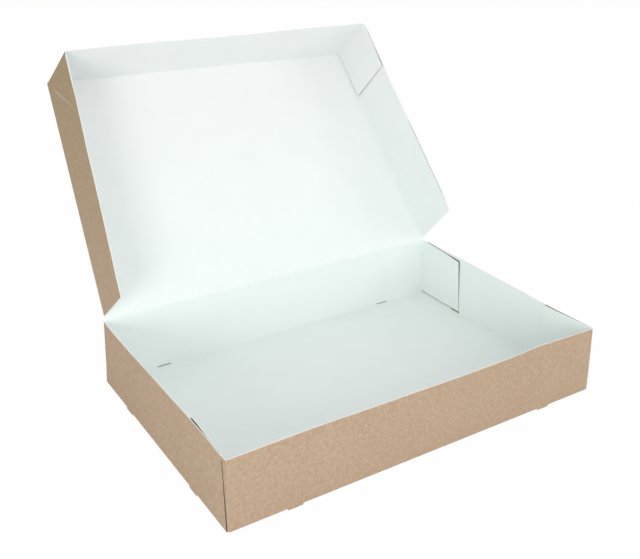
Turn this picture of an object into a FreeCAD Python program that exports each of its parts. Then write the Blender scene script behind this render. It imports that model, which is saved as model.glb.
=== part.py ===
import FreeCAD, Part
import math
import os

os.makedirs("parts", exist_ok=True)
Vector = FreeCAD.Vector

# All sizes in millimetres. X runs along the box, Y from front to back, Z up.
# The origin is the centre of the tray's underside.

# board
board = 0.45
bend_inside = 0.40
bend_outside = bend_inside + board
glue_gap = 0.25

# tray, measured over the outside
tray_length = 340.0
tray_depth = 222.0
tray_height = 57.0
tab_long_at_rim = 54.0
tab_long_at_floor = 57.0
tab_end_drop = 2.0
tab_above_floor = 1.0
side_short_at_rim = 7.0
side_short_at_floor = 1.0
corner_round = 1.5

# glue between a tab and its wall
glue_from_corner = 8.0
glue_to_corner = 44.0
glue_low = 9.0
glue_high = 44.0

# tongues under the folds that the box stands on
tongue_start = 46.0
tongue_long = 13.0
tongue_below = 1.0
tongue_taper = 0.6
slit_wide = 1.2

# hinge fold between the tray's back wall and the lid
fold_free = 0.30
lid_over_rim = 0.30
open_angle = 130.0

# lid, which tucks inside the tray: it narrows towards its front, at each side by the value given
lid_side_clear = 0.50
lid_front_gap = 4.30
lid_swing_clear = 0.50
lid_narrowing = 13.35
lid_wall_height = 57.0
lid_tab_at_rim = 48.0
lid_tab_at_panel = 51.0
lid_tab_end_drop = 1.5
lid_tab_below_panel = 1.0
lid_side_short_at_rim = 3.0
lid_side_short_at_panel = 1.0
lid_rear_at_panel = 3.0
lid_rear_at_rim = 6.0
crease_wide = 0.8
crease_deep = 0.12
crease_reach = 54.0

half_length = tray_length / 2
half_depth = tray_depth / 2
pivot_y = half_depth - board / 2
pivot_z = tray_height + lid_over_rim + board / 2
back_wall_top = pivot_z - fold_free
across = Vector(1, 0, 0)
backward = Vector(0, 1, 0)
up = Vector(0, 0, 1)


def box(x0, x1, y0, y1, z0, z1):
    return Part.makeBox(x1 - x0, y1 - y0, z1 - z0, Vector(x0, y0, z0))


def plate(corners, through):
    """A flat piece of board: the corners of one face, and the way through to the other."""
    face = Part.Face(Part.makePolygon(corners + [corners[0]]))
    return face.extrude(through)


def plate_along_y(points, x0, thick):
    """A plate lying in a YZ plane: corner points as (y, z), from x0 to x0 + thick."""
    return plate([Vector(x0, y, z) for y, z in points], across * thick)


def plate_along_x(points, y0, thick):
    """A plate lying in an XZ plane: corner points as (x, z), from y0 to y0 + thick."""
    return plate([Vector(x, y0, z) for x, z in points], backward * thick)


def bend(centre, along, long, first, second):
    """Part of a tube: the rounded fold between two plates, from the way one faces to the other's."""
    middle = (first + second).normalize()
    outer = [centre + direction * bend_outside for direction in (first, middle, second)]
    inner = [centre + direction * bend_inside for direction in (first, middle, second)]
    edges = [
        Part.Arc(outer[0], outer[1], outer[2]).toShape(),
        Part.makeLine(outer[2], inner[2]),
        Part.Arc(inner[2], inner[1], inner[0]).toShape(),
        Part.makeLine(inner[0], outer[0]),
    ]
    face = Part.Face(Part.Wire(edges))
    return face.extrude(along * long)


def joined(shapes):
    whole = shapes[0].multiFuse(shapes[1:])
    return whole.removeSplitter()


def rounded(shape, corners, radius):
    """Round the edges that run through the board at the given corners of a plate."""
    edges = []
    for edge in shape.Edges:
        if abs(edge.Length - board) > 1e-6:
            continue
        for corner in corners:
            if min((vertex.Point - corner).Length for vertex in edge.Vertexes) < 1e-4:
                edges.append(edge)
    return shape.makeFillet(radius, edges)


def level(z):
    return up, z


def set_in(flat, distance):
    """The plane that lies a distance inside another one."""
    return flat[0], flat[1] - distance


def meet(first, second, third):
    """The point where three planes meet, each a normal and its distance from the origin."""
    (a, a_far), (b, b_far), (c, c_far) = first, second, third
    total = b.cross(c) * a_far + c.cross(a) * b_far + a.cross(b) * c_far
    return total * (1 / a.dot(b.cross(c)))


# tray

flat_x = half_length - bend_outside
flat_y = half_depth - bend_outside
tab_outside = half_length - board - glue_gap
turn_x = tab_outside - bend_outside
side_inside = half_length - board

tray_shapes = [box(-flat_x, flat_x, -flat_y, flat_y, 0, board)]

for toward in (-1, 1):
    wall_outer = toward * half_depth
    wall_inner = toward * (half_depth - board)
    wall_top = tray_height
    if toward > 0:
        wall_top = back_wall_top
    tray_shapes.append(
        box(-turn_x, turn_x, min(wall_outer, wall_inner), max(wall_outer, wall_inner),
            bend_outside, wall_top))
    tray_shapes.append(
        bend(Vector(-turn_x, toward * flat_y, bend_outside), across, 2 * turn_x,
             backward * toward, -up))

for side in (-1, 1):
    fold_z = bend_outside
    # the side wall, with both ends cut on a slant
    ends_low = half_depth - side_short_at_floor
    ends_high = half_depth - side_short_at_rim
    wall_points = [(-ends_low, fold_z), (ends_low, fold_z),
                   (ends_high, tray_height), (-ends_high, tray_height)]
    wall_start = side * half_length
    side_wall = plate_along_y(wall_points, wall_start, -side * board)
    side_wall = rounded(
        side_wall, [Vector(wall_start, y, tray_height) for y in (-ends_high, ends_high)],
        corner_round)
    tray_shapes.append(side_wall)
    tray_shapes.append(
        bend(Vector(side * flat_x, -ends_low, fold_z), backward, 2 * ends_low,
             across * side, -up))
    # the two tabs that turn the corners and are glued inside the side wall
    for toward in (-1, 1):
        outer_y = toward * half_depth
        start_y = toward * flat_y
        tray_shapes.append(
            bend(Vector(side * turn_x, start_y, bend_outside), up,
                 tray_height - bend_outside, across * side, backward * toward))
        end_rim = outer_y - toward * tab_long_at_rim
        end_floor = outer_y - toward * tab_long_at_floor
        tab_top = tray_height - tab_end_drop
        tab_points = [(start_y, tab_above_floor), (end_floor, tab_above_floor),
                      (end_rim, tab_top), (start_y, tray_height)]
        tab_start = side * tab_outside
        tab = plate_along_y(tab_points, tab_start, -side * board)
        tab = rounded(
            tab, [Vector(tab_start, end_floor, tab_above_floor),
                  Vector(tab_start, end_rim, tab_top)],
            corner_round)
        tray_shapes.append(tab)
        near_y = outer_y - toward * glue_from_corner
        far_y = outer_y - toward * glue_to_corner
        pad_points = [(near_y, glue_low), (far_y, glue_low), (far_y, glue_high), (near_y, glue_high)]
        tray_shapes.append(plate_along_y(pad_points, side * side_inside, -side * glue_gap))

tray = joined(tray_shapes)

# tongues: left standing in the walls' planes, cut from the floor at the folds
cutters = []
tongues = []
for end in (-1, 1):
    for toward in (-1, 1):
        # under the front and back walls
        near = end * (half_length - tongue_start)
        far = end * (half_length - tongue_start - tongue_long)
        low_x = min(near, far)
        high_x = max(near, far)
        inner_y = half_depth - board
        slit = sorted((toward * (half_depth + 1), toward * (inner_y - slit_wide)))
        cutters.append(box(low_x, high_x, slit[0], slit[1], -1, bend_outside))
        points = [(low_x, bend_outside), (high_x, bend_outside),
                  (high_x - tongue_taper, -tongue_below),
                  (low_x + tongue_taper, -tongue_below)]
        tongues.append(plate_along_x(points, toward * half_depth, -toward * board))
        # under the side walls
        near = toward * (half_depth - tongue_start)
        far = toward * (half_depth - tongue_start - tongue_long)
        low_y = min(near, far)
        high_y = max(near, far)
        slit = sorted((end * (half_length + 1), end * (side_inside - slit_wide)))
        cutters.append(box(slit[0], slit[1], low_y, high_y, -1, bend_outside))
        points = [(low_y, bend_outside), (high_y, bend_outside),
                  (high_y - tongue_taper, -tongue_below),
                  (low_y + tongue_taper, -tongue_below)]
        tongues.append(plate_along_y(points, end * half_length, -end * board))

for cutter in cutters:
    tray = tray.cut(cutter)
tray = joined([tray] + tongues)

# lid, drawn closed and then turned open about the fold

lid_half = tab_outside - board - lid_side_clear
lid_front_half = lid_half - lid_narrowing
lid_front = lid_front_gap + board - half_depth
panel_top = tray_height + lid_over_rim + board
lid_rim = panel_top - lid_wall_height

# the front wall leans in so far that its rim swings past the tray's front wall
swing_reach = pivot_y + half_depth - board - lid_swing_clear
rim_front = pivot_y - math.sqrt(swing_reach ** 2 - (pivot_z - lid_rim) ** 2)
lean = math.atan2(rim_front - lid_front, lid_wall_height)
taper = math.atan2(lid_narrowing, pivot_y - lid_front)

# planes of the outer faces, and of the lines that the folds turn about
panel_plane = level(panel_top)
fold_level = set_in(panel_plane, bend_outside)
rim_level = level(lid_rim)
front_faces = Vector(0, -math.cos(lean), -math.sin(lean))
front_plane = (front_faces, front_faces.dot(Vector(0, lid_front, panel_top)))
front_axis = set_in(front_plane, bend_outside)

panel_sides = []
corner_tops = []
corner_feet = []
lid_shapes = []
grooves = []

for side in (-1, 1):
    faces = Vector(side * math.cos(taper), -math.sin(taper), 0)
    rearward = Vector(side * math.sin(taper), math.cos(taper), 0)
    side_plane = (faces, faces.dot(Vector(side * lid_half, pivot_y, 0)))
    side_axis = set_in(side_plane, bend_outside)
    tab_plane = set_in(side_plane, board + glue_gap)
    tab_axis = set_in(tab_plane, bend_outside)

    panel_front = meet(fold_level, side_axis, front_axis) + up * bend_outside
    panel_rear = meet(panel_plane, side_axis, (backward, pivot_y - fold_free))
    panel_sides.append((panel_front, panel_rear))

    # the side wall and its fold
    front_high = meet(fold_level, side_plane, set_in(front_plane, lid_side_short_at_panel))
    front_low = meet(rim_level, side_plane, set_in(front_plane, lid_side_short_at_rim))
    rear_high = meet(fold_level, side_plane, (backward, pivot_y - lid_rear_at_panel))
    rear_low = meet(rim_level, side_plane, (backward, pivot_y - lid_rear_at_rim))
    side_wall = plate([front_high, rear_high, rear_low, front_low], faces * -board)
    lid_shapes.append(rounded(side_wall, [rear_low, front_low], corner_round))
    lid_shapes.append(
        bend(front_high - faces * bend_outside, rearward, (rear_high - front_high).Length,
             faces, up))

    # the front wall's tab, which turns the corner and is glued inside the side wall
    corner_top = meet(fold_level, tab_axis, front_axis)
    corner_foot = meet(rim_level, tab_axis, front_axis)
    corner_tops.append(corner_top)
    corner_feet.append(corner_foot)
    downward = corner_foot - corner_top
    corner_long = downward.Length
    lid_shapes.append(bend(corner_top, downward * (1 / corner_long), corner_long, faces, front_faces))
    tab_high = panel_top - board - lid_tab_below_panel
    start_low = corner_foot + faces * bend_outside
    start_high = start_low + downward * ((start_low.z - tab_high) / (corner_top.z - corner_foot.z))
    end_low = start_low + rearward * (lid_tab_at_rim - bend_outside) + up * lid_tab_end_drop
    end_high = start_high + rearward * (lid_tab_at_panel - bend_outside)
    tab = plate([start_low, end_low, end_high, start_high], faces * -board)
    lid_shapes.append(rounded(tab, [end_low, end_high], corner_round))
    glue_plane = set_in(side_plane, board)
    pad_near = set_in(front_plane, glue_from_corner)
    pad_far = set_in(front_plane, glue_to_corner)
    pad_low = level(lid_rim + glue_low)
    pad_high = level(lid_rim + glue_high)
    pad_corners = [meet(pad_low, glue_plane, pad_near), meet(pad_low, glue_plane, pad_far),
                   meet(pad_high, glue_plane, pad_far), meet(pad_high, glue_plane, pad_near)]
    lid_shapes.append(plate(pad_corners, faces * -glue_gap))

    # the pressed line that crosses the side wall from the front corner, at half a right angle
    line_start = meet(fold_level, side_plane, front_axis) + faces * crease_deep
    line_way = (rearward - up) * crease_reach
    line_side = (rearward + up).normalize() * (crease_wide / 2)
    grooves.append(plate([line_start - line_side, line_start + line_side,
                          line_start + line_way + line_side, line_start + line_way - line_side],
                         faces * (-2 * crease_deep)))

left_sides, right_sides = panel_sides
lid_shapes.append(plate([left_sides[0], right_sides[0], right_sides[1], left_sides[1]], up * -board))
front_long = (corner_tops[1] - corner_tops[0]).Length
lid_shapes.append(bend(corner_tops[0], across, front_long, front_faces, up))
outward = front_faces * bend_outside
lid_shapes.append(
    plate([corner_tops[0] + outward, corner_tops[1] + outward,
           corner_feet[1] + outward, corner_feet[0] + outward], front_faces * -board))

lid = joined(lid_shapes)
for groove in grooves:
    lid = lid.cut(groove)

lid.rotate(Vector(0, pivot_y, pivot_z), across, -open_angle)

for name, shape in (("tray", tray), ("lid", lid)):
    if shape.ShapeType != "Solid":
        solids = shape.Solids
        print(name, "solids", len(solids))
        shape = solids[0]
    bounds = shape.BoundBox
    print(name, "valid", shape.isValid(), "volume", round(shape.Volume, 1), "mm3")
    print("  x %.2f %.2f  y %.2f %.2f  z %.2f %.2f" % (
        bounds.XMin, bounds.XMax, bounds.YMin, bounds.YMax, bounds.ZMin, bounds.ZMax))
    shape.exportStep("parts/" + name + ".step")

print("pivot y %.4f z %.4f" % (pivot_y, pivot_z))
print("lid half %.2f to %.2f, taper %.3f, front wall leans %.3f degrees" % (
    lid_half, lid_front_half, math.degrees(taper), math.degrees(lean)))
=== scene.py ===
import math
import bmesh
import bpy
from mathutils import Matrix, Vector
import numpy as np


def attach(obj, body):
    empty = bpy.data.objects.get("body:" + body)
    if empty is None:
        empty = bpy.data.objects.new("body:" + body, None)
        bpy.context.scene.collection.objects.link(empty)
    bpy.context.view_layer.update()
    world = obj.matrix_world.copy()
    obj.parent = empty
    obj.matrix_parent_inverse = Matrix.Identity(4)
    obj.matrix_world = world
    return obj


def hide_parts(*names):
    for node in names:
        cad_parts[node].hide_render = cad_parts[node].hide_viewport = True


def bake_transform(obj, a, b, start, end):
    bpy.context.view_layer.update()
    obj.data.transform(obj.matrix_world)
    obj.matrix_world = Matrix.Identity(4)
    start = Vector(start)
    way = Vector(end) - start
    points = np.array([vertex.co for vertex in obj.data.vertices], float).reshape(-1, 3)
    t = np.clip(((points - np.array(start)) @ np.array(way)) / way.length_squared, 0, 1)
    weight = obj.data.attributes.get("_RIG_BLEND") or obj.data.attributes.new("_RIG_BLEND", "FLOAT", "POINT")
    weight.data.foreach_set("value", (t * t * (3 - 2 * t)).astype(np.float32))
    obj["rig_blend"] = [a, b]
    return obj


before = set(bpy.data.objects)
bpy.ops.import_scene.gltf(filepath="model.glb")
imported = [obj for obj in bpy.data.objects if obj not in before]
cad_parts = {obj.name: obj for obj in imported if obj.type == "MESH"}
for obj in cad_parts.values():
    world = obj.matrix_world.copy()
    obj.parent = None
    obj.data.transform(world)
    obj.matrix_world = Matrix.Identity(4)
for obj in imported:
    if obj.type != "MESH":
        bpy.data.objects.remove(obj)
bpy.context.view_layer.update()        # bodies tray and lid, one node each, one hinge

scene = bpy.context.scene
near = 0.02              # how close two coordinates count as one, in mm
print("frame loaded")


# camera

cameraSettings = {
    "place": (-0.38479, -0.54948, 0.41209),
    "heading": 32.923,   # degrees from +Y towards +X
    "down": 21.502,
    "roll": 0.788,
    "lens": 51.587,
    "sensor": 36.0,
    "shiftY": -0.09,
    "clip": (0.02, 30.0),
}


def makeCamera(values):
    data = bpy.data.cameras.new("camera")
    camera = bpy.data.objects.new("camera", data)
    scene.collection.objects.link(camera)
    data.lens = values["lens"]
    data.sensor_width = values["sensor"]
    data.shift_y = values["shiftY"]
    data.clip_start, data.clip_end = values["clip"]
    camera.matrix_world = (
        Matrix.Translation(values["place"])
        @ Matrix.Rotation(-math.radians(values["heading"]), 4, "Z")
        @ Matrix.Rotation(math.radians(90.0 - values["down"]), 4, "X")
        @ Matrix.Rotation(math.radians(values["roll"]), 4, "Z")
    )
    scene.camera = camera


makeCamera(cameraSettings)
scene.view_settings.view_transform = "Standard"
print("camera placed")


# node helpers

def newNode(tree, kind, place, **values):
    node = tree.nodes.new(kind)
    node.location = place
    for name, value in values.items():
        setattr(node, name, value)
    return node


def setInputs(node, values):
    for name, value in values.items():
        node.inputs[name].default_value = value
    return node


def newGroup(name, inputs, outputs):
    group = bpy.data.node_groups.new(name, "ShaderNodeTree")
    for socketName, kind, value in inputs:
        socket = group.interface.new_socket(socketName, in_out="INPUT", socket_type=kind)
        if value is not None:
            socket.default_value = value
    for socketName, kind in outputs:
        group.interface.new_socket(socketName, in_out="OUTPUT", socket_type=kind)
    start = newNode(group, "NodeGroupInput", (-900, 0))
    end = newNode(group, "NodeGroupOutput", (700, 0))
    return group, start, end


def mathNode(tree, operation, place, first, second=None, clamp=False):
    node = newNode(tree, "ShaderNodeMath", place, operation=operation, use_clamp=clamp)
    for index, value in enumerate((first, second)):
        if value is None:
            continue
        if isinstance(value, (int, float)):
            node.inputs[index].default_value = value
        else:
            tree.links.new(value, node.inputs[index])
    return node.outputs[0]


def mixColours(tree, place, factor, first, second, blend="MIX"):
    node = newNode(tree, "ShaderNodeMix", place, data_type="RGBA", blend_type=blend)
    for socket, value in ((node.inputs[0], factor), (node.inputs[6], first), (node.inputs[7], second)):
        if isinstance(value, (int, float, tuple)):
            socket.default_value = value
        else:
            tree.links.new(value, socket)
    return node.outputs[2]


def rampNode(tree, place, source, stops):
    node = newNode(tree, "ShaderNodeMapRange", place)
    node.clamp = True
    low, high, outLow, outHigh = stops
    setInputs(node, {"From Min": low, "From Max": high, "To Min": outLow, "To Max": outHigh})
    tree.links.new(source, node.inputs["Value"])
    return node.outputs["Result"]


pulpValues = {
    "stretches": ((1.0, 0.22, 0.6), (0.22, 1.0, 0.22), (0.6, 0.6, 1.0)),   # one for each set of fibres
    "turn": (0.3, 0.5, 0.7),      # how much further each set is turned, in radians
    "fleckEdge": 14.0,            # how sharply a fleck ends
    "cloudHeight": 0.35,          # the clouds' part in the height
}


# pulp: soft clouds, fibres lying every way, small flecks
def makePulpGroup(values):
    group, start, end = newGroup(
        "boardPulp",
        (("Vector", "NodeSocketVector", None),
         ("Cloud Scale", "NodeSocketFloat", 70.0),
         ("Fibre Scale", "NodeSocketFloat", 900.0),
         ("Fleck Scale", "NodeSocketFloat", 260.0),
         ("Fleck Size", "NodeSocketFloat", 0.12)),
        (("Cloud", "NodeSocketFloat"), ("Fibre", "NodeSocketFloat"),
         ("Fleck", "NodeSocketFloat"), ("Height", "NodeSocketFloat")))
    link = group.links.new
    cloud = setInputs(newNode(group, "ShaderNodeTexNoise", (-600, 300)),
                      {"Detail": 5.0, "Roughness": 0.62, "Distortion": 0.4})
    link(start.outputs["Vector"], cloud.inputs["Vector"])
    link(start.outputs["Cloud Scale"], cloud.inputs["Scale"])
    fibres = []
    for index, stretch in enumerate(values["stretches"]):
        mapping = newNode(group, "ShaderNodeMapping", (-760, -100 - 260 * index))
        mapping.inputs["Scale"].default_value = stretch
        mapping.inputs["Rotation"].default_value = [turn * index for turn in values["turn"]]
        link(start.outputs["Vector"], mapping.inputs["Vector"])
        fibre = setInputs(newNode(group, "ShaderNodeTexNoise", (-560, -100 - 260 * index)),
                          {"Detail": 3.0, "Roughness": 0.55, "Distortion": 1.2})
        link(mapping.outputs["Vector"], fibre.inputs["Vector"])
        link(start.outputs["Fibre Scale"], fibre.inputs["Scale"])
        fibres.append(fibre.outputs["Fac"])
    twoFibres = mathNode(group, "ADD", (-340, -160), fibres[0], fibres[1])
    allFibres = mathNode(group, "ADD", (-340, -360), twoFibres, fibres[2])
    fibreMean = mathNode(group, "MULTIPLY", (-160, -260), allFibres, 0.3333)
    cells = newNode(group, "ShaderNodeTexVoronoi", (-560, -900))
    cells.inputs["Randomness"].default_value = 1.0
    link(start.outputs["Vector"], cells.inputs["Vector"])
    link(start.outputs["Fleck Scale"], cells.inputs["Scale"])
    chance = newNode(group, "ShaderNodeSeparateColor", (-360, -1040))
    link(cells.outputs["Color"], chance.inputs[0])
    fleckSize = mathNode(group, "MULTIPLY", (-180, -1040), chance.outputs[0],
                         start.outputs["Fleck Size"])
    inside = mathNode(group, "SUBTRACT", (0, -940), fleckSize, cells.outputs["Distance"])
    fleck = mathNode(group, "MULTIPLY", (180, -940), inside, values["fleckEdge"], clamp=True)
    cloudPart = mathNode(group, "MULTIPLY", (-160, 60), cloud.outputs["Fac"], values["cloudHeight"])
    height = mathNode(group, "ADD", (60, -60), cloudPart, fibreMean)
    link(cloud.outputs["Fac"], end.inputs["Cloud"])
    link(fibreMean, end.inputs["Fibre"])
    link(fleck, end.inputs["Fleck"])
    link(height, end.inputs["Height"])
    return group


rubAndShadeValues = {
    "broken": (0.42, 0.66),       # the noise between these breaks the rubbed folds up
    # output, attribute, and the attribute's values at which it starts and is full
    "marks": (("Edge", "edgeWear", 0.0, 1.0), ("Gap Shade", "gapShade", 0.05, 0.50),
              ("End", "endShade", 0.10, 0.90)),
}


# rubbed folds and cut edges, and painted shade along the folds, in the gaps behind the tabs and at the ends,
# read from the sheets' attributes
def makeRubAndShadeGroup(values):
    group, start, end = newGroup(
        "boardRubAndShade",
        (("Vector", "NodeSocketVector", None), ("Break Scale", "NodeSocketFloat", 420.0)),
        (("Wear", "NodeSocketFloat"), ("Fold Shade", "NodeSocketFloat"), ("Edge", "NodeSocketFloat"),
         ("Gap Shade", "NodeSocketFloat"), ("End", "NodeSocketFloat")))
    link = group.links.new
    fold = newNode(group, "ShaderNodeAttribute", (-600, 200), attribute_name="foldWearAndShade")
    noise = setInputs(newNode(group, "ShaderNodeTexNoise", (-600, -100)),
                      {"Detail": 4.0, "Roughness": 0.7})
    link(start.outputs["Vector"], noise.inputs["Vector"])
    link(start.outputs["Break Scale"], noise.inputs["Scale"])
    broken = rampNode(group, (-300, -100), noise.outputs["Fac"], values["broken"] + (0.0, 1.0))
    wear = mathNode(group, "MULTIPLY", (0, 60), fold.outputs["Fac"], broken, clamp=True)
    link(wear, end.inputs["Wear"])
    link(fold.outputs["Fac"], end.inputs["Fold Shade"])
    for index, (socket, name, low, high) in enumerate(values["marks"]):
        mark = newNode(group, "ShaderNodeAttribute", (-600, 420 + 200 * index), attribute_name=name)
        ramp = rampNode(group, (-300, 420 + 200 * index), mark.outputs["Fac"], (low, high, 0.0, 1.0))
        link(ramp, end.inputs[socket])
    return group


shadeHeights = (0.060, 0.240)  # in metres, just above the hinge and near the open lid's front


# painted shade and tint: the board grows darker and shifts colour with height, from the hinge to the front
# of the open lid, where less light bounces up from the floor
def makeHeightShadeGroup(heights):
    group, start, end = newGroup(
        "boardHeightShade",
        (("Vector", "NodeSocketVector", None), ("Colour", "NodeSocketColor", None),
         ("High Shade Tint", "NodeSocketColor", None)),
        (("Colour", "NodeSocketColor"),))
    link = group.links.new
    parts = newNode(group, "ShaderNodeSeparateXYZ", (-600, 200))
    link(start.outputs["Vector"], parts.inputs[0])
    share = rampNode(group, (-400, 200), parts.outputs[2], heights + (0.0, 1.0))
    shadedColour = mixColours(group, (-100, 0), 1.0, start.outputs["Colour"], start.outputs["High Shade Tint"],
                       "MULTIPLY")
    link(mixColours(group, (200, 0), share, start.outputs["Colour"], shadedColour), end.inputs["Colour"])
    return group


pulpGroup = makePulpGroup(pulpValues)
rubAndShadeGroup = makeRubAndShadeGroup(rubAndShadeValues)
heightShadeGroup = makeHeightShadeGroup(shadeHeights)


def startMaterial(name):
    material = bpy.data.materials.new(name)
    material.use_nodes = True
    tree = material.node_tree
    tree.nodes.clear()
    output = newNode(tree, "ShaderNodeOutputMaterial", (900, 0))
    shader = newNode(tree, "ShaderNodeBsdfPrincipled", (600, 0))
    tree.links.new(shader.outputs[0], output.inputs["Surface"])
    place = newNode(tree, "ShaderNodeTexCoord", (-1100, 0))
    return material, tree, shader, place.outputs["Object"]


def addGroup(tree, group, place, vector, values):
    node = newNode(tree, "ShaderNodeGroup", place)
    node.node_tree = group
    setInputs(node, values)
    tree.links.new(vector, node.inputs["Vector"])
    return node


# board materials

kraftLook = {
    "dark": (0.392, 0.278, 0.184, 1.0),
    "light": (0.406, 0.290, 0.193, 1.0),
    "fleckColour": (0.320, 0.220, 0.145, 1.0),
    "fleckShare": 0.20,
    "paleFibre": (0.440, 0.322, 0.227, 1.0),
    "fibreShare": 0.12,
    # painted shade and tint: darker and yellower high up on the open lid
    "highShadeTint": (0.80, 0.82, 0.72, 1.0),
    "rubbed": (0.540, 0.425, 0.320, 1.0),
    "rubbedShare": 0.50,
    "cutColour": (0.820, 0.745, 0.650, 1.0),
    "cutShare": 0.85,
    "endShadeColour": (0.070, 0.045, 0.030, 1.0),
    "breakScale": 380.0,
    "fibreRange": (0.48, 0.66),
    "roughness": 0.74,
    "roughSpread": 0.08,
    "bumpStrength": 0.35,
    "bumpDepth": 0.00003,
    "gloss": {"Metallic": 0.0, "IOR": 1.45, "Specular IOR Level": 0.28},
    "pulp": {"Cloud Scale": 34.0, "Fibre Scale": 900.0, "Fleck Scale": 230.0, "Fleck Size": 0.20},
}

whiteLook = {
    "shade": (0.808, 0.860, 0.838, 1.0),
    "colour": (0.828, 0.880, 0.858, 1.0),
    "fleckColour": (0.770, 0.812, 0.785, 1.0),
    # painted shade and tint: a little darker and less green high up on the open lid
    "highShadeTint": (0.995, 0.955, 0.975, 1.0),
    # painted shade along the folds
    "foldShade": (0.700, 0.755, 0.730, 1.0),
    "foldShare": 0.12,
    # painted shade: near black where a tab hides its wall, at the tongues under the slits and on the folds
    # below the tabs
    "gapShadeColour": (0.045, 0.048, 0.042, 1.0),
    "breakScale": 300.0,
    "roughness": 0.52,
    "roughSpread": 0.06,
    "bumpStrength": 0.7,
    "bumpDepth": 0.00003,
    "gloss": {"Metallic": 0.0, "IOR": 1.47, "Specular IOR Level": 0.35},
    "pulp": {"Cloud Scale": 34.0, "Fibre Scale": 700.0, "Fleck Scale": 160.0, "Fleck Size": 0.10},
}

edgeLook = {
    "dark": (0.850, 0.825, 0.770, 1.0),
    "light": (0.930, 0.920, 0.890, 1.0),
    "endShadeColour": (0.070, 0.050, 0.035, 1.0),
    "breakScale": 380.0,
    "fibreRange": (0.38, 0.62),
    "bumpStrength": 1.0,
    "bumpDepth": 0.00005,
    "gloss": {"Roughness": 0.88, "Metallic": 0.0, "Specular IOR Level": 0.2},
    "pulp": {"Cloud Scale": 480.0, "Fibre Scale": 2600.0, "Fleck Scale": 700.0, "Fleck Size": 0.10},
}


cloudRange = (0.30, 0.70)        # the clouds between these run from the first colour to the second
roughRange = (0.35, 0.65)        # and the fibres between these from smooth to rough


def addRoughness(tree, shader, pulp, look):
    spread = look["roughSpread"]
    rough = rampNode(tree, (260, -60), pulp.outputs["Fibre"],
                     roughRange + (look["roughness"] - spread, look["roughness"] + spread))
    tree.links.new(rough, shader.inputs["Roughness"])


def addBump(tree, shader, pulp, look):
    bump = setInputs(newNode(tree, "ShaderNodeBump", (260, -320)),
                     {"Strength": look["bumpStrength"], "Distance": look["bumpDepth"]})
    tree.links.new(pulp.outputs["Height"], bump.inputs["Height"])
    tree.links.new(bump.outputs["Normal"], shader.inputs["Normal"])


# paints the shade and tint by height over the given colour
def addHeightShade(tree, shader, vector, colour, look):
    heightShadeNode = addGroup(tree, heightShadeGroup, (500, 400), vector, {"High Shade Tint": look["highShadeTint"]})
    tree.links.new(colour, heightShadeNode.inputs["Colour"])
    tree.links.new(heightShadeNode.outputs["Colour"], shader.inputs["Base Color"])


def makeKraft(look):
    material, tree, shader, vector = startMaterial("kraftOutside")
    pulp = addGroup(tree, pulpGroup, (-800, 100), vector, look["pulp"])
    rub = addGroup(tree, rubAndShadeGroup, (-800, -300), vector, {"Break Scale": look["breakScale"]})
    cloud = rampNode(tree, (-560, 260), pulp.outputs["Cloud"], cloudRange + (0.0, 1.0))
    base = mixColours(tree, (-340, 260), cloud, look["dark"], look["light"])
    fibre = rampNode(tree, (-560, 20), pulp.outputs["Fibre"],
                     look["fibreRange"] + (0.0, look["fibreShare"]))
    withFibre = mixColours(tree, (-140, 220), fibre, base, look["paleFibre"])
    fleck = mathNode(tree, "MULTIPLY", (-140, 20), pulp.outputs["Fleck"], look["fleckShare"])
    withFleck = mixColours(tree, (60, 200), fleck, withFibre, look["fleckColour"])
    share = mathNode(tree, "MULTIPLY", (-340, -260), rub.outputs["Wear"], look["rubbedShare"])
    rubbed = mixColours(tree, (200, 180), share, withFleck, look["rubbed"])
    cut = mathNode(tree, "MULTIPLY", (-340, -420), rub.outputs["Edge"], look["cutShare"])
    withCut = mixColours(tree, (320, 180), cut, rubbed, look["cutColour"])
    # painted shade at the side walls' ends and along parts of the lid's right rim
    colour = mixColours(tree, (460, 180), rub.outputs["End"], withCut, look["endShadeColour"])
    addHeightShade(tree, shader, vector, colour, look)
    addRoughness(tree, shader, pulp, look)
    addBump(tree, shader, pulp, look)
    setInputs(shader, look["gloss"])
    return material


def makeWhite(look):
    material, tree, shader, vector = startMaterial("whiteInside")
    pulp = addGroup(tree, pulpGroup, (-800, 100), vector, look["pulp"])
    rub = addGroup(tree, rubAndShadeGroup, (-800, -300), vector, {"Break Scale": look["breakScale"]})
    cloud = rampNode(tree, (-560, 260), pulp.outputs["Cloud"], cloudRange + (0.0, 1.0))
    base = mixColours(tree, (-340, 260), cloud, look["shade"], look["colour"])
    withFleck = mixColours(tree, (-120, 220), pulp.outputs["Fleck"], base, look["fleckColour"])
    # painted shade along the folds, from the fold mark
    share = mathNode(tree, "MULTIPLY", (-340, -260), rub.outputs["Fold Shade"], look["foldShare"])
    folded = mixColours(tree, (160, 180), share, withFleck, look["foldShade"])
    # painted shade in the gaps behind the tabs, in the slits and on the folds below the tabs
    colour = mixColours(tree, (360, 180), rub.outputs["Gap Shade"], folded, look["gapShadeColour"])
    addHeightShade(tree, shader, vector, colour, look)
    addRoughness(tree, shader, pulp, look)
    addBump(tree, shader, pulp, look)
    setInputs(shader, look["gloss"])
    return material


def makeEdge(look):
    material, tree, shader, vector = startMaterial("cutEdge")
    pulp = addGroup(tree, pulpGroup, (-800, 100), vector, look["pulp"])
    rub = addGroup(tree, rubAndShadeGroup, (-800, -300), vector, {"Break Scale": look["breakScale"]})
    fibre = rampNode(tree, (-560, 60), pulp.outputs["Fibre"], look["fibreRange"] + (0.0, 1.0))
    clean = mixColours(tree, (-300, 100), fibre, look["dark"], look["light"])
    # painted shade at the side walls' ends and along parts of the lid's right rim
    colour = mixColours(tree, (-100, 100), rub.outputs["End"], clean, look["endShadeColour"])
    tree.links.new(colour, shader.inputs["Base Color"])
    addBump(tree, shader, pulp, look)
    setInputs(shader, look["gloss"])
    return material


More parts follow.
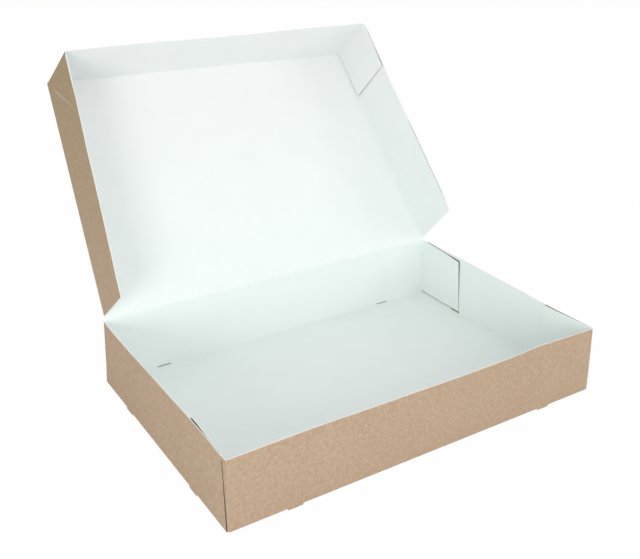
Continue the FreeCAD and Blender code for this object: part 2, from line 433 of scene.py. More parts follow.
boardMaterials = [makeKraft(kraftLook), makeWhite(whiteLook), makeEdge(edgeLook)]
print("board materials made")


# sheet helpers, all in millimetres until finishSheet

board = {
    "thickness": 0.45,
    "radius": 0.85,      # outside of a fold
    "bendSteps": 4,
    "cornerSteps": 4,
    "cellStep": 9.0,     # about the distance between two grid lines
    "sharpAngle": 40.0,
    "cutStrip": 0.45,    # how far in from a cut edge the kraft is scuffed
    "cutSlack": 1e-4,
    "bowCurve": 1.4,     # how a wall's bow grows from its fold to its rim
    # the painted shade on the part of a wall behind a tab: how it fades in, how near its points may lie,
    # how far from the wall's face and past the tab's end it is looked for, and a depth inside it
    "gapFade": 0.3,
    "gapMerge": 0.05,
    "wallSlack": 0.3,
    "pastTab": 14.0,
    "insideTab": 20.0,
}


def newSheet(width, depth):
    bm = bmesh.new()
    for name in ("foldWearAndShade", "edgeWear", "gapShade", "endShade"):
        bm.verts.layers.float.new(name)
    bmesh.ops.create_grid(bm, x_segments=1, y_segments=1, size=0.5)
    bmesh.ops.scale(bm, vec=(width, depth, 1), verts=bm.verts[:])
    return bm


def cutRows(bm, axis, places):
    normal = Vector((0, 0, 0))
    normal[axis] = 1.0
    for place in places:
        bmesh.ops.bisect_plane(
            bm, geom=bm.verts[:] + bm.edges[:] + bm.faces[:], dist=board["cutSlack"],
            plane_co=normal * place, plane_no=normal)


def evenPlaces(low, high, step):
    count = max(1, round((high - low) / step))
    return [low + (high - low) * index / count for index in range(1, count)]


def edgeRow(bm, test):
    return [edge for edge in bm.edges
            if edge.is_boundary and all(test(vert.co) for vert in edge.verts)]


def isAt(value, place):
    return abs(value - place) < near


def isFull(share):
    return share > 0.999


# turns a quarter circle out of a row of edges and marks it as folded
def foldRow(bm, edges, centre, axis, angle):
    wear = bm.verts.layers.float["foldWearAndShade"]
    before = set(bm.faces)
    made = bmesh.ops.spin(
        bm, geom=edges, cent=centre, axis=axis, dvec=(0, 0, 0),
        angle=math.radians(angle), steps=board["bendSteps"], use_merge=False, use_duplicate=False)
    for face in set(bm.faces) - before:
        for vert in face.verts:
            vert[wear] = 1.0
    return [item for item in made["geom_last"] if isinstance(item, bmesh.types.BMEdge)]


# pulls a row of edges along a direction, through the given distances
def pullRow(bm, edges, direction, distances):
    direction = Vector(direction)
    done = 0.0
    for distance in distances:
        made = bmesh.ops.extrude_edge_only(bm, edges=edges)["geom"]
        verts = [item for item in made if isinstance(item, bmesh.types.BMVert)]
        bmesh.ops.translate(bm, verts=verts, vec=direction * (distance - done))
        newVerts = set(verts)
        edges = [item for item in made if isinstance(item, bmesh.types.BMEdge)
                 and item.verts[0] in newVerts and item.verts[1] in newVerts]
        done = distance
    return edges


def roundCorners(bm, verts, radius):
    bmesh.ops.bevel(bm, geom=verts, offset=radius, offset_type="OFFSET", affect="VERTICES",
                    segments=board["cornerSteps"], profile=0.5, material=-1,
                    clamp_overlap=True)


def eased(low, high, value):
    t = min(1.0, max(0.0, (value - low) / (high - low)))
    return t * t * (3.0 - 2.0 * t)


# a smooth line through (place, amount) pairs
def bowAt(bows, place):
    if place <= bows[0][0]:
        return bows[0][1]
    for (lowPlace, lowAmount), (highPlace, highAmount) in zip(bows, bows[1:]):
        if place <= highPlace:
            return lowAmount + (highAmount - lowAmount) * eased(lowPlace, highPlace, place)
    return bows[-1][1]


# marks the boundary points that pass the test
def markCutEdges(bm, name, test):
    layer = bm.verts.layers.float[name]
    for vert in bm.verts:
        if vert.is_boundary and test(vert.co):
            vert[layer] = 1.0


# a line in the YZ plane, as a point and the square direction towards a third point
def lineToward(first, second, inside):
    way = (second - first).normalized()
    square = Vector((0, way.z, -way.y))
    return first, square if square.dot(inside - first) > 0 else -square


# paints shade on the part of a wall that a glued tab hides, dark where the gap lets it show;
# a line is a point and the direction into the hidden part
def shadeBehindTab(bm, isWall, lines):
    layer = bm.verts.layers.float["gapShade"]
    for point, normal in lines:
        for offset in (0.0, board["gapFade"]):
            wall = [face for face in bm.faces if isWall(face.calc_center_median())]
            parts = {item for face in wall for item in list(face.verts) + list(face.edges)}
            bmesh.ops.bisect_plane(bm, geom=list(parts) + wall, dist=board["cutSlack"],
                                   plane_co=point + normal * offset, plane_no=normal)
    wall = [vert for vert in bm.verts if isWall(vert.co)]
    bmesh.ops.remove_doubles(bm, verts=wall, dist=board["gapMerge"])
    for vert in bm.verts:
        if isWall(vert.co) and not vert.is_boundary and all(
                (vert.co - point).dot(normal) > board["gapFade"] - 0.1 for point, normal in lines):
            vert[layer] = 1.0


# gives the sheet its thickness and materials, with its kraft side facing outward
def finishSheet(bm, name, outward, thickness):
    bmesh.ops.recalc_face_normals(bm, faces=bm.faces[:])
    largest = max(bm.faces, key=lambda face: face.calc_area() * abs(face.normal.dot(outward)))
    if largest.normal.dot(outward) < 0:
        bmesh.ops.reverse_faces(bm, faces=bm.faces[:])
    bmesh.ops.scale(bm, vec=(0.001, 0.001, 0.001), verts=bm.verts[:])
    mesh = bpy.data.meshes.new(name)
    bm.to_mesh(mesh)
    bm.free()
    piece = bpy.data.objects.new(name, mesh)
    scene.collection.objects.link(piece)
    for material in boardMaterials:
        mesh.materials.append(material)
    solid = piece.modifiers.new("board", "SOLIDIFY")
    solid.thickness = thickness * 0.001
    solid.offset = -1.0
    solid.use_even_offset = True
    solid.use_quality_normals = True
    solid.material_offset = 1
    solid.material_offset_rim = 2
    applyModifiers(piece)
    return piece


def applyModifiers(piece):
    bpy.context.view_layer.update()
    seen = piece.evaluated_get(bpy.context.evaluated_depsgraph_get())
    made = bpy.data.meshes.new_from_object(seen)
    old = piece.data
    piece.modifiers.clear()
    piece.data = made
    made.name = piece.name
    bpy.data.meshes.remove(old)
    for polygon in made.polygons:
        polygon.use_smooth = True
    made.set_sharp_from_angle(angle=math.radians(board["sharpAngle"]))


# tray

traySize = {
    "length": 340.0,
    "depth": 222.0,
    "height": 57.0,
    "tabOutside": 169.30,         # how far out the tabs' outer faces lie
    "tabLong": 54.0,
    "tabLonger": 3.0,             # extra length at the floor
    "tabExtra": {"frontLeft": 3.0, "frontRight": 0.0, "backLeft": 0.0, "backRight": 0.0},
    "tabLow": 1.2,
    "tabDrop": {"frontLeft": 0.6, "frontRight": 0.4, "backLeft": 2.0, "backRight": 3.0},
    "tabOpen": {"frontLeft": 1.4, "frontRight": 0.8, "backLeft": 0.3, "backRight": 1.2},
    # how far from its corner each tab starts to stand off its wall
    "openFrom": {"frontLeft": 20.0, "frontRight": 1.0, "backLeft": 35.0, "backRight": 28.0},
    "sideShortLow": 1.0,
    "sideShortHigh": {"frontLeft": 7.0, "frontRight": 3.5, "backLeft": 7.0, "backRight": 5.0},
    "tongue": (46.0, 59.0),       # from the corner
    "tongueBelow": 1.0,
    "tongueTaper": 0.6,
    "slitWide": (1.2, 1.3),       # under the front and back walls, under the side walls
    "wallRows": (1.2, 9.0, 18.0, 28.0, 38.0, 47.0, 52.0),
    "tabRows": (1.2, 10.0, 22.0, 34.0, 45.0),
    "cornerRadius": 1.6,
    "creaseFree": 1.0,            # left below the hinge line for the crease piece
    "frontBow": ((-169, 0.9), (-100, 2.0), (-35, 1.2), (30, 0.8), (72, 1.4), (112, 3.4),
                 (145, 2.3), (169, 1.6)),
    "leftBow": ((-111, 0.0), (-80, 1.1), (-58, 1.3), (0, 1.0), (60, 0.6), (111, 1.0)),
    "rightBow": ((-111, 0.1), (-56, 1.6), (0, 0.7), (60, 0.5), (111, 0.4)),
    "endFlare": {"frontLeft": 0.75, "frontRight": 0.0, "backLeft": 0.0, "backRight": 0.0},
    "flareReach": (4.0, 20.0),    # from the corner, where the flare starts to end and has ended
    "cornerReach": 40.0,          # how far a corner's lean carries along the front and back walls
    "sideBendFrom": 100.0,        # from the middle, where the side walls' slanted ends begin
    "shadeBelowTabs": 0.35,       # how dark the folds below the tabs are, and how high up
    "shadeHigh": 2.0,
}

hingeLine = {"y": 110.775, "z": 57.525, "open": 130.0}


# grid lines at the marks and tongues, and evenly between them
def gridPlaces(marks, tongue, slit):
    marks = marks + tongue
    step = board["cellStep"]
    return sorted([-place for place in marks] + marks) \
        + evenPlaces(-tongue[1], tongue[1], step) + evenPlaces(tongue[0], slit, step) \
        + evenPlaces(-slit, -tongue[0], step)


def makeTray(size):
    radius = board["radius"]
    halfX, halfY, height = size["length"] / 2, size["depth"] / 2, size["height"]
    flatX, flatY = halfX - radius, halfY - radius
    turnX = size["tabOutside"] - radius
    tongueX = [halfX - place for place in size["tongue"]]
    tongueY = [halfY - place for place in size["tongue"]]
    slitX = halfX - board["thickness"] - size["slitWide"][1]
    slitY = halfY - board["thickness"] - size["slitWide"][0]
    bm = newSheet(2 * flatX, 2 * flatY)
    cutRows(bm, 0, gridPlaces([slitX], tongueX, slitX))
    cutRows(bm, 1, gridPlaces([slitY, flatY - board["cutStrip"]], tongueY, slitY))

    wallRows = [place - radius for place in size["wallRows"] + (height - board["cutStrip"], height)]
    for toward in (-1, 1):
        edges = edgeRow(bm, lambda co: isAt(co.y, toward * flatY) and isAt(co.z, 0))
        edges = foldRow(bm, edges, (0, toward * flatY, radius), (1, 0, 0), 90 * toward)
        top = wallRows
        if toward > 0:
            last = hingeLine["z"] - size["creaseFree"] - radius
            top = [place for place in wallRows[:-2] if place < last - 1] + [last]
        pullRow(bm, edges, (0, 0, 1), top)
    for side in (-1, 1):
        edges = edgeRow(bm, lambda co: isAt(co.x, side * flatX) and isAt(co.z, 0))
        edges = foldRow(bm, edges, (side * flatX, 0, radius), (0, 1, 0), -90 * side)
        pullRow(bm, edges, (0, 0, 1), wallRows)

    # the folds below the tabs lie in deep shade
    shade = bm.verts.layers.float["gapShade"]
    for vert in bm.verts:
        if abs(vert.co.x) > flatX + near and abs(vert.co.y) > tongueY[1] \
                and near < vert.co.z < size["shadeHigh"]:
            vert[shade] = size["shadeBelowTabs"]

    # the front and back walls stop where their tabs turn
    for vert in bm.verts:
        if abs(vert.co.y) > flatY + near and isAt(abs(vert.co.x), flatX):
            share = min(1.0, vert.co.z / radius)
            vert.co.x = math.copysign(flatX - (flatX - turnX) * share, vert.co.x)
    for side in (-1, 1):
        for toward in (-1, 1):
            edges = edgeRow(bm, lambda co: isAt(co.x, side * turnX)
                            and isAt(co.y, toward * halfY) and co.z > radius - near)
            edges = foldRow(bm, edges, (side * turnX, toward * flatY, 0), (0, 0, 1),
                            -90 * side * toward)
            pullRow(bm, edges, (0, -toward, 0),
                    [place - radius for place in size["tabRows"]
                     + (size["tabLong"] - board["cutStrip"], size["tabLong"])])
    markCutEdges(bm, "edgeWear", lambda co: isAt(co.z, height)
                 or isAt(abs(co.x), size["tabOutside"]) and isAt(abs(co.y), halfY - size["tabLong"]))
    # painted shade: the side walls' end edges are dark where they meet the tabs
    markCutEdges(bm, "endShade", lambda co: isAt(abs(co.x), halfX) and isAt(abs(co.y), flatY)
                 and co.z < height - board["cutStrip"] - near)
    return bm, (flatX, flatY), (tongueX, tongueY, slitX, slitY)


def cornerName(co):
    return ("front" if co.y < 0 else "back") + ("Left" if co.x < 0 else "Right")


def shapeTray(bm, size, flats):
    flatX, flatY = flats
    radius = board["radius"]
    halfX, halfY, height = size["length"] / 2, size["depth"] / 2, size["height"]
    tabX = size["tabOutside"]

    # tabs: lower at their ends, slanted, and clear of the floor
    ends = []
    for vert in bm.verts:
        co = vert.co
        if not isAt(abs(co.x), tabX) or co.z < radius - near:
            continue
        along = halfY - abs(co.y)
        share = min(1.0, max(0.0, (along - radius) / (size["tabLong"] - radius)))
        top = height - size["tabDrop"][cornerName(co)] * share
        upward = (min(co.z, height) - radius) / (height - radius)
        co.z = size["tabLow"] + (top - size["tabLow"]) * upward
        along += (size["tabLonger"] * (1.0 - upward) + size["tabExtra"][cornerName(co)]) * share
        co.y = math.copysign(halfY - along, co.y)
        if isFull(share) and (isFull(upward) or isFull(1.0 - upward)):
            ends.append(vert)
    # side walls: both ends cut on a slant
    bend = size["sideBendFrom"]
    for vert in bm.verts:
        co = vert.co
        if abs(co.x) > flatX + near and abs(co.y) > bend and not isAt(abs(co.x), tabX):
            upward = max(0.0, (co.z - radius) / (height - radius))
            atRim = size["sideShortHigh"][cornerName(co)]
            last = halfY - size["sideShortLow"] - (atRim - size["sideShortLow"]) * upward
            share = (abs(co.y) - bend) / (flatY - bend)
            if abs(co.x) > halfX - near:
                co.y = math.copysign(bend + (last - bend) * share, co.y)
                if isFull(share) and isFull(upward):
                    ends.append(vert)
    roundCorners(bm, ends, size["cornerRadius"])

    for side in (-1, 1):
        for toward in (-1, 1):
            corner = cornerName(Vector((side, toward, 0)))
            drop = size["tabDrop"][corner]
            end = halfY - size["tabLong"] - size["tabExtra"][corner]
            start = Vector((0, toward * (halfY - radius), height))
            endHigh = Vector((0, toward * end, height - drop))
            endLow = endHigh + Vector((0, -toward * size["tabLonger"], size["tabLow"] - endHigh.z))
            inside = Vector((0, toward * (halfY - board["insideTab"]), height / 2))
            lines = [lineToward(endHigh, endLow, inside)]
            if drop > 1.0:
                lines.append(lineToward(start, endHigh, inside))
            shadeBehindTab(
                bm, lambda co: co.x * side > halfX - board["wallSlack"] and co.z > radius - near
                and co.y * toward > halfY - size["tabLong"] - board["pastTab"], lines)


def cutTongues(bm, size, slits):
    tongueX, tongueY, slitX, slitY = slits
    radius = board["radius"]
    halfX, halfY = size["length"] / 2, size["depth"] / 2

    def within(value, places):
        return min(places) - near < abs(value) < max(places) + near

    gone = []
    for face in bm.faces:
        centre = face.calc_center_median()
        if centre.z > radius - near:
            continue
        alongX = within(centre.x, tongueX) and abs(centre.y) > slitY
        alongY = within(centre.y, tongueY) and abs(centre.x) > slitX
        if alongX or alongY:
            gone.append(face)
    bmesh.ops.delete(bm, geom=gone, context="FACES")
    for end in (-1, 1):
        for toward in (-1, 1):
            for axis, half, places in ((1, halfY, tongueX), (0, halfX, tongueY)):
                other = 1 - axis
                edges = edgeRow(bm, lambda co: isAt(co[axis], toward * half)
                                and isAt(co.z, radius) and co[other] * end > 0
                                and within(co[other], places))
                last = pullRow(bm, edges, (0, 0, -1), [radius + size["tongueBelow"]])
                middle = end * sum(places) / 2
                for vert in {vert for edge in last for vert in edge.verts}:
                    # painted shade: the tongues' lower ends, seen through the slits, are dark
                    vert[bm.verts.layers.float["gapShade"]] = 1.0
                    if abs(vert.co[other] - middle) > (max(places) - min(places)) / 2 - near:
                        vert.co[other] -= math.copysign(
                            size["tongueTaper"], vert.co[other] - middle)


def bowTray(bm, size):
    halfX, halfY, height = size["length"] / 2, size["depth"] / 2, size["height"]
    tabX = size["tabOutside"]
    for vert in bm.verts:
        co = vert.co
        rise = max(0.0, co.z / height) ** board["bowCurve"]
        along = halfY - abs(co.y)
        isSideWall = abs(co.x) > halfX - board["wallSlack"]
        isTab = isAt(abs(co.x), tabX)
        if not isSideWall and co.y < 0 and (isTab or co.y < -halfY + board["radius"]):
            co.y += bowAt(size["frontBow"], co.x) * rise
        bows = size["leftBow"] if co.x < 0 else size["rightBow"]
        inward = bowAt(bows, co.y) * rise
        if isTab:
            inward += size["tabOpen"][cornerName(co)] * rise \
                * eased(size["openFrom"][cornerName(co)], size["tabLong"], along)
        elif isSideWall:
            inward -= size["endFlare"][cornerName(co)] * rise \
                * (1.0 - eased(*size["flareReach"], along))
        else:
            inward *= eased(tabX - size["cornerReach"], tabX, abs(co.x))
        co.x -= math.copysign(inward, co.x)


bm, flats, slits = makeTray(traySize)
cutTongues(bm, traySize, slits)
shapeTray(bm, traySize, flats)
bowTray(bm, traySize)
trayPiece = finishSheet(bm, "trayBoard", Vector((0, 0, -1)), board["thickness"])
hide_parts("tray")
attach(trayPiece, "tray")
print("tray folded:", len(trayPiece.data.polygons), "faces")


# lid, folded shut and then swung open about the hinge line

lidSize = {
    "half": 168.35,               # at the hinge
    # as it stands, left and right: how far each corner is from the middle,
    # and how much further from the hinge than drawn
    "hingeHalf": (167.15, 167.95),
    "frontHalf": {"panel": (155.3, 153.9), "rim": (150.9, 155.0)},
    "frontLonger": {"panel": (3.0, -1.5), "rim": (2.0, 1.0)},
    "front": -106.25,
    "top": 57.75,
    "wallHeight": 57.0,
    "tabOutside": 167.65,
    "tabLong": 48.0,
    "tabLonger": 3.0,             # extra length at the panel
    "tabDrop": 0.5,
    "tabBelowPanel": 1.45,
    "shortAtPanel": 1.0,
    "shortAtRim": 3.0,
    "rearAtPanel": 3.0,
    "rearAtRim": {-1: 2.5, 1: 10.5},   # left and right
    "endBend": 12.0,              # how far in from its ends a side wall is drawn to its slants
    "besideFold": 1.2,
    "creaseFree": 1.0,
    "pressedWide": 1.5,
    "pressedHigh": 0.22,
    "pressedPale": 0.8,           # how white the line is rubbed towards the rim
    "pressedRub": (10.0, 20.0),   # down from the panel: where the rub starts and is full
    "pressedFade": (30.0, 44.0, 0.75),   # where it starts to fade, has faded, and by how much
    "wallRows": (1.2, 9.0, 18.0, 28.0, 38.0, 47.0, 52.0),
    "tabRows": (1.2, 10.0, 22.0, 34.0, 42.0),
    "cornerRadius": 1.6,
    "frontBow": ((-168, 0.0), (-90, -0.5), (0, 0.4), (90, -0.4), (168, 0.0)),
    "sideBow": ((-106, 0.0), (-54, -0.5), (16, 0.3), (66, 0.2), (108, -0.1)),
    "tabOpen": (0.60, 0.60),      # at the panel, and added at the rim
    "openFrom": (20.0, 3.0),      # how far from the corner each of the two starts
    # parts of the right rim given painted shade: start, full, fading, end, and how dark
    "shadedRim": ((-104, -100, -61, -58, 0.6), (-5, 12, 80, 98, 0.9)),
}


def makeLid(size):
    radius = board["radius"]
    half, front, top = size["half"], size["front"], size["top"]
    flatX, flatFront = half - radius, front + radius
    turnX = size["tabOutside"] - radius
    foldZ = top - radius
    rear = hingeLine["y"] - size["creaseFree"]
    rearFold = hingeLine["y"] - size["rearAtPanel"]
    bm = newSheet(2 * flatX, rear - flatFront)
    bmesh.ops.translate(bm, verts=bm.verts[:], vec=(0, (rear + flatFront) / 2, top))
    step, beside = board["cellStep"], size["besideFold"]
    cutRows(bm, 0, [-flatX + beside, flatX - beside] + evenPlaces(-flatX, flatX, step))
    cutRows(bm, 1, [flatFront + board["cutStrip"], flatFront + beside, rearFold - board["cutStrip"],
                    rearFold] + evenPlaces(flatFront + beside, rearFold, step))

    rows = [place - radius for place in size["wallRows"]
            + (size["wallHeight"] - board["cutStrip"], size["wallHeight"])]
    edges = edgeRow(bm, lambda co: isAt(co.y, flatFront))
    edges = foldRow(bm, edges, (0, flatFront, foldZ), (1, 0, 0), 90)
    pullRow(bm, edges, (0, 0, -1), rows)
    for side in (-1, 1):
        edges = edgeRow(bm, lambda co: isAt(co.x, side * flatX) and isAt(co.z, top)
                        and co.y < rearFold + near)
        edges = foldRow(bm, edges, (side * flatX, 0, foldZ), (0, 1, 0), 90 * side)
        pullRow(bm, edges, (0, 0, -1), rows)
    for vert in bm.verts:
        if vert.co.y < flatFront - near and isAt(abs(vert.co.x), flatX):
            share = min(1.0, (top - vert.co.z) / radius)
            vert.co.x = math.copysign(flatX - (flatX - turnX) * share, vert.co.x)
    for side in (-1, 1):
        edges = edgeRow(bm, lambda co: isAt(co.x, side * turnX)
                        and isAt(co.y, front) and co.z < foldZ + near)
        edges = foldRow(bm, edges, (side * turnX, flatFront, 0), (0, 0, 1), 90 * side)
        pullRow(bm, edges, (0, 1, 0),
                [place - radius for place in size["tabRows"]
                 + (size["tabLong"] - board["cutStrip"], size["tabLong"])])
    markCutEdges(bm, "edgeWear", lambda co: isAt(co.z, top - size["wallHeight"])
                 or isAt(abs(co.x), size["tabOutside"]) and isAt(co.y, front + size["tabLong"])
                 or isAt(abs(co.x), half) and isAt(co.y, rearFold))
    # painted shade: the side walls' front end edges are dark, and so are parts of the right rim
    markCutEdges(bm, "endShade", lambda co: isAt(abs(co.x), half) and isAt(co.y, flatFront))
    rimShade = bm.verts.layers.float["endShade"]
    for vert in bm.verts:
        if isAt(vert.co.x, half) and isAt(vert.co.z, top - size["wallHeight"]):
            for start, full, fade, last, most in size["shadedRim"]:
                share = eased(start, full, vert.co.y) * (1.0 - eased(fade, last, vert.co.y))
                vert[rimShade] = max(vert[rimShade], most * share)

    # the pressed line at half a right angle on each side wall
    wear = bm.verts.layers.float["foldWearAndShade"]
    edgeWear = bm.verts.layers.float["edgeWear"]
    normal = Vector((0, 1, 1)).normalized()
    start = Vector((0, flatFront, foldZ))
    for offset in (-size["pressedWide"] / 2, 0.0, size["pressedWide"] / 2):
        for side in (-1, 1):
            wall = [face for face in bm.faces
                    if abs(face.calc_center_median().x - side * half) < near]
            parts = {item for face in wall for item in list(face.verts) + list(face.edges)}
            bmesh.ops.bisect_plane(
                bm, geom=list(parts) + wall, dist=board["cutSlack"],
                plane_co=start + normal * offset, plane_no=normal)
    for vert in bm.verts:
        away = (vert.co - start).dot(normal)
        if abs(away) < near and abs(abs(vert.co.x) - half) < near:
            vert.co.x += math.copysign(size["pressedHigh"], vert.co.x)
            vert[wear] = 1.0
            down = foldZ - vert.co.z
            fadeFrom, fadeTo, faded = size["pressedFade"]
            vert[edgeWear] = size["pressedPale"] * eased(*size["pressedRub"], down) \
                * (1.0 - faded * eased(fadeFrom, fadeTo, down))
    return bm, (flatFront, foldZ, rearFold)


def shapeLid(bm, size, folds):
    flatFront, foldZ, rearFold = folds
    radius = board["radius"]
    half, front, top = size["half"], size["front"], size["top"]
    rim = top - size["wallHeight"]
    tabX = size["tabOutside"]
    ends = []
    for vert in bm.verts:
        co = vert.co
        if not isAt(abs(co.x), tabX) or co.z > foldZ + near:
            continue
        along = co.y - front
        share = min(1.0, max(0.0, (along - radius) / (size["tabLong"] - radius)))
        low = rim + size["tabDrop"] * share
        high = top - size["tabBelowPanel"]
        upward = (co.z - rim) / (foldZ - rim)
        co.z = low + (high - low) * upward
        co.y += size["tabLonger"] * share * upward
        if isFull(share) and (isFull(upward) or isFull(1.0 - upward)):
            ends.append(vert)
    frontBend, rearBend = front + size["endBend"], rearFold - size["endBend"]
    for vert in bm.verts:
        co = vert.co
        if abs(co.x) < half - near:
            continue
        downward = max(0.0, (foldZ - co.z) / (foldZ - rim))
        if co.y < frontBend:
            last = front + size["shortAtPanel"] \
                + (size["shortAtRim"] - size["shortAtPanel"]) * downward
            share = (frontBend - co.y) / (frontBend - flatFront)
            co.y = frontBend - (frontBend - last) * share
        elif co.y > rearBend:
            atRim = size["rearAtRim"][-1 if co.x < 0 else 1]
            last = rearFold - (atRim - size["rearAtPanel"]) * downward
            share = (co.y - rearBend) / (rearFold - rearBend)
            co.y = rearBend + (last - rearBend) * share
        else:
            continue
        if isFull(share) and isFull(downward):
            ends.append(vert)
    roundCorners(bm, ends, size["cornerRadius"])

    endLow = Vector((0, front + size["tabLong"], rim + size["tabDrop"]))
    endHigh = Vector((0, endLow.y + size["tabLonger"], top - size["tabBelowPanel"]))
    inside = Vector((0, front + board["insideTab"], top - size["wallHeight"] / 2))
    for side in (-1, 1):
        shadeBehindTab(
            bm, lambda co: co.x * side > half - board["wallSlack"] and co.z < foldZ - 1.0
            and co.y < front + size["tabLong"] + board["pastTab"],
            [lineToward(endLow, endHigh, inside)])


def bowLid(bm, size):
    front, top = size["front"], size["top"]
    for vert in bm.verts:
        co = vert.co
        fall = max(0.0, (top - co.z) / size["wallHeight"]) ** board["bowCurve"]
        if abs(co.x) > size["tabOutside"] - near:
            inward = bowAt(size["sideBow"], co.y) * fall
            if isAt(abs(co.x), size["tabOutside"]):
                along = co.y - front
                atPanel, atRim = size["tabOpen"]
                panelFrom, rimFrom = size["openFrom"]
                inward += atPanel * eased(panelFrom, size["tabLong"], along) \
                    + atRim * fall * eased(rimFrom, size["tabLong"], along)
            co.x -= math.copysign(inward, co.x)
        elif co.y < front + near:
            co.y += bowAt(size["frontBow"], co.x) * fall


def mixCorners(corners, depth, across):
    left, right = (high + (low - high) * depth
                   for high, low in zip(corners["panel"], corners["rim"]))
    return left + (right - left) * across


# the lid narrows towards its front and is a little askew there
def narrowLid(bm, size):
    long = hingeLine["y"] - size["front"]
    for vert in bm.verts:
        share = (hingeLine["y"] - vert.co.y) / long
        depth = (size["top"] - vert.co.z) / size["wallHeight"]
        across = (vert.co.x / size["half"] + 1.0) / 2
        left, right = size["hingeHalf"]
        atHinge = left + (right - left) * across
        atFront = mixCorners(size["frontHalf"], depth, across)
        vert.co.x *= (atHinge + (atFront - atHinge) * share) / size["half"]
        vert.co.y -= mixCorners(size["frontLonger"], depth, across) * share


bm, folds = makeLid(lidSize)
shapeLid(bm, lidSize, folds)
bowLid(bm, lidSize)
narrowLid(bm, lidSize)
hingePoint = Vector((0, hingeLine["y"], hingeLine["z"]))
bmesh.ops.recalc_face_normals(bm, faces=bm.faces[:])
opened = Matrix.Rotation(-math.radians(hingeLine["open"]), 3, "X")
bmesh.ops.rotate(bm, cent=hingePoint, matrix=opened, verts=bm.verts[:])
lidPiece = finishSheet(bm, "lidBoard", opened @ Vector((0, 0, 1)), board["thickness"])
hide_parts("lid")
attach(lidPiece, "lid")
print("lid folded:", len(lidPiece.data.polygons), "faces")


# crease between the back wall and the lid

creaseSize = {
    "halfWide": 166.8,
    "below": 1.6,        # reaches this far down the wall and up the lid
    "bendReach": 1.0,
    "rowStep": 0.22,
    "proud": 0.03,
    "wornTo": 0.6,       # fully worn this far from the hinge line
}


def makeCrease(size):
    bm = newSheet(2 * size["halfWide"], 2 * size["below"])
    wear = bm.verts.layers.float["foldWearAndShade"]
    cutRows(bm, 0, evenPlaces(-size["halfWide"], size["halfWide"], board["cellStep"]))
    cutRows(bm, 1, evenPlaces(-size["below"], size["below"], size["rowStep"]))
    bmesh.ops.rotate(bm, cent=(0, 0, 0), matrix=Matrix.Rotation(math.radians(90), 3, "X"),
                     verts=bm.verts[:])
    outside = board["thickness"] / 2 + size["proud"]
    bmesh.ops.translate(bm, verts=bm.verts[:], vec=(0, outside, 0))
    for vert in bm.verts:
        # the fold mark: rubbed paler on the kraft side, painted shade on the white side
        vert[wear] = 1.0 - eased(size["wornTo"], size["below"], abs(vert.co.z))
        share = eased(-size["bendReach"], size["bendReach"], vert.co.z)
        turn = Matrix.Rotation(-math.radians(hingeLine["open"] - 90.0) * share, 3, "X")
        vert.co = turn @ vert.co + hingePoint
    return bm


bm = makeCrease(creaseSize)
creasePiece = finishSheet(bm, "hingeCrease", Vector((0, 1, 0)),
                          board["thickness"] + 2 * creaseSize["proud"])
lidWay = opened @ Vector((0, -1, 0))
creaseReach = creaseSize["bendReach"]
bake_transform(creasePiece, "tray", "lid",
         start=(hingePoint - Vector((0, 0, creaseReach))) * 0.001,
         end=(hingePoint + lidWay * creaseReach) * 0.001)
print("crease laid across the hinge")


# floor, lamps and background

studio = {
    "floorColour": (0.90, 0.90, 0.90, 1.0),
    "floorLevel": -0.001,    # the tongues stand on it
    "floorSize": 14.0,
    "cleanShare": 0.97,      # how much of the floor is plain white to the camera
    # half sizes of the patch below the box, which doesn't glow and lets light through to the underside
    "underBox": (0.168, 0.109),
    "worldStrength": 0.815,
    "worldColour": (0.99, 0.997, 1.0, 1.0),
    # place, width in metres and watts of the soft lamps at the left, front and right
    "lamps": {
        "left": ((-0.95, -0.75, 0.30), 0.5, 4.6),
        "front": ((0.15, -1.10, 0.45), 0.5, 2.1),
        "right": ((1.00, -0.60, 0.45), 0.5, 1.6),
    },
    "lampAim": (0.0, 0.0, 0.02),
}


# 1 for the rays that should see a clean background: straight, mirrored or through glass
def seenClean(tree, path):
    seen = mathNode(tree, "MAXIMUM", (-600, 300), path.outputs["Is Camera Ray"],
                    path.outputs["Is Glossy Ray"])
    return mathNode(tree, "MAXIMUM", (-440, 300), seen, path.outputs["Is Transmission Ray"])


def mixShaders(tree, place, share, first, second):
    mix = newNode(tree, "ShaderNodeMixShader", place)
    for index, source in enumerate((share, first.outputs[0], second.outputs[0])):
        tree.links.new(source, mix.inputs[index])
    return mix


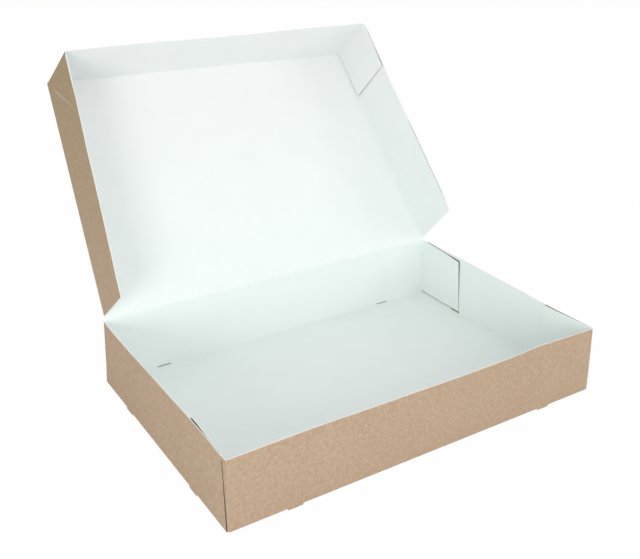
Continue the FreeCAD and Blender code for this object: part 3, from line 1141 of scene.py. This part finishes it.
def makeFloor(values):
    bm = bmesh.new()
    bmesh.ops.create_grid(bm, x_segments=1, y_segments=1, size=values["floorSize"] / 2)
    bmesh.ops.translate(bm, verts=bm.verts[:], vec=(0, 0, values["floorLevel"]))
    mesh = bpy.data.meshes.new("floor")
    bm.to_mesh(mesh)
    bm.free()
    floor = bpy.data.objects.new("floor", mesh)
    scene.collection.objects.link(floor)
    material = bpy.data.materials.new("floorWhite")
    material.use_nodes = True
    tree = material.node_tree
    tree.nodes.clear()
    output = newNode(tree, "ShaderNodeOutputMaterial", (600, 0))
    diffuse = newNode(tree, "ShaderNodeBsdfDiffuse", (-200, 100))
    diffuse.inputs["Color"].default_value = values["floorColour"]
    glow = newNode(tree, "ShaderNodeEmission", (-200, -100))
    path = newNode(tree, "ShaderNodeLightPath", (-800, 300))
    place = newNode(tree, "ShaderNodeTexCoord", (-1200, 600))
    parts = newNode(tree, "ShaderNodeSeparateXYZ", (-1000, 600))
    tree.links.new(place.outputs["Object"], parts.inputs[0])
    outside = []
    for index, half in enumerate(values["underBox"]):
        away = mathNode(tree, "ABSOLUTE", (-800, 700 - 200 * index), parts.outputs[index])
        outside.append(mathNode(tree, "GREATER_THAN", (-600, 700 - 200 * index), away, half))
    away = mathNode(tree, "MAXIMUM", (-400, 600), outside[0], outside[1])
    seen = mathNode(tree, "MULTIPLY", (-360, 420), seenClean(tree, path), away)
    share = mathNode(tree, "MULTIPLY", (-280, 300), seen, values["cleanShare"])
    mix = mixShaders(tree, (200, 0), share, diffuse, glow)
    # the floor is clear from below, and lets light up to the underside of the box
    below = newNode(tree, "ShaderNodeNewGeometry", (0, 500))
    bounced = mathNode(tree, "MAXIMUM", (-200, 700), path.outputs["Is Diffuse Ray"],
                       path.outputs["Is Shadow Ray"])
    under = mathNode(tree, "SUBTRACT", (-200, 500), 1.0, away)
    lit = mathNode(tree, "MULTIPLY", (0, 700), bounced, under)
    clearShare = mathNode(tree, "MAXIMUM", (200, 500), below.outputs["Backfacing"], lit)
    clear = newNode(tree, "ShaderNodeBsdfTransparent", (200, -200))
    both = mixShaders(tree, (420, 0), clearShare, mix, clear)
    tree.links.new(both.outputs[0], output.inputs["Surface"])
    mesh.materials.append(material)


def makeWorld(values):
    world = bpy.data.worlds.new("studio")
    scene.world = world
    world.use_nodes = True
    tree = world.node_tree
    tree.nodes.clear()
    output = newNode(tree, "ShaderNodeOutputWorld", (600, 0))
    light = newNode(tree, "ShaderNodeBackground", (0, 100))
    setInputs(light, {"Color": values["worldColour"], "Strength": values["worldStrength"]})
    clean = newNode(tree, "ShaderNodeBackground", (0, -100))
    setInputs(clean, {"Color": (1.0, 1.0, 1.0, 1.0), "Strength": 1.0})
    path = newNode(tree, "ShaderNodeLightPath", (-800, 300))
    mix = mixShaders(tree, (300, 0), seenClean(tree, path), light, clean)
    tree.links.new(mix.outputs[0], output.inputs["Surface"])


def makeLamps(values):
    for name, (place, width, watts) in values["lamps"].items():
        data = bpy.data.lights.new(name + "Lamp", "AREA")
        data.shape = "DISK"
        data.size = width
        data.energy = watts
        lamp = bpy.data.objects.new(name + "Lamp", data)
        scene.collection.objects.link(lamp)
        lamp.visible_camera = False
        lamp.location = place
        lamp.rotation_mode = "QUATERNION"
        away = Vector(place) - Vector(values["lampAim"])
        lamp.rotation_quaternion = away.to_track_quat("Z", "Y")


makeFloor(studio)
makeWorld(studio)
makeLamps(studio)
print("floor and lamps set")
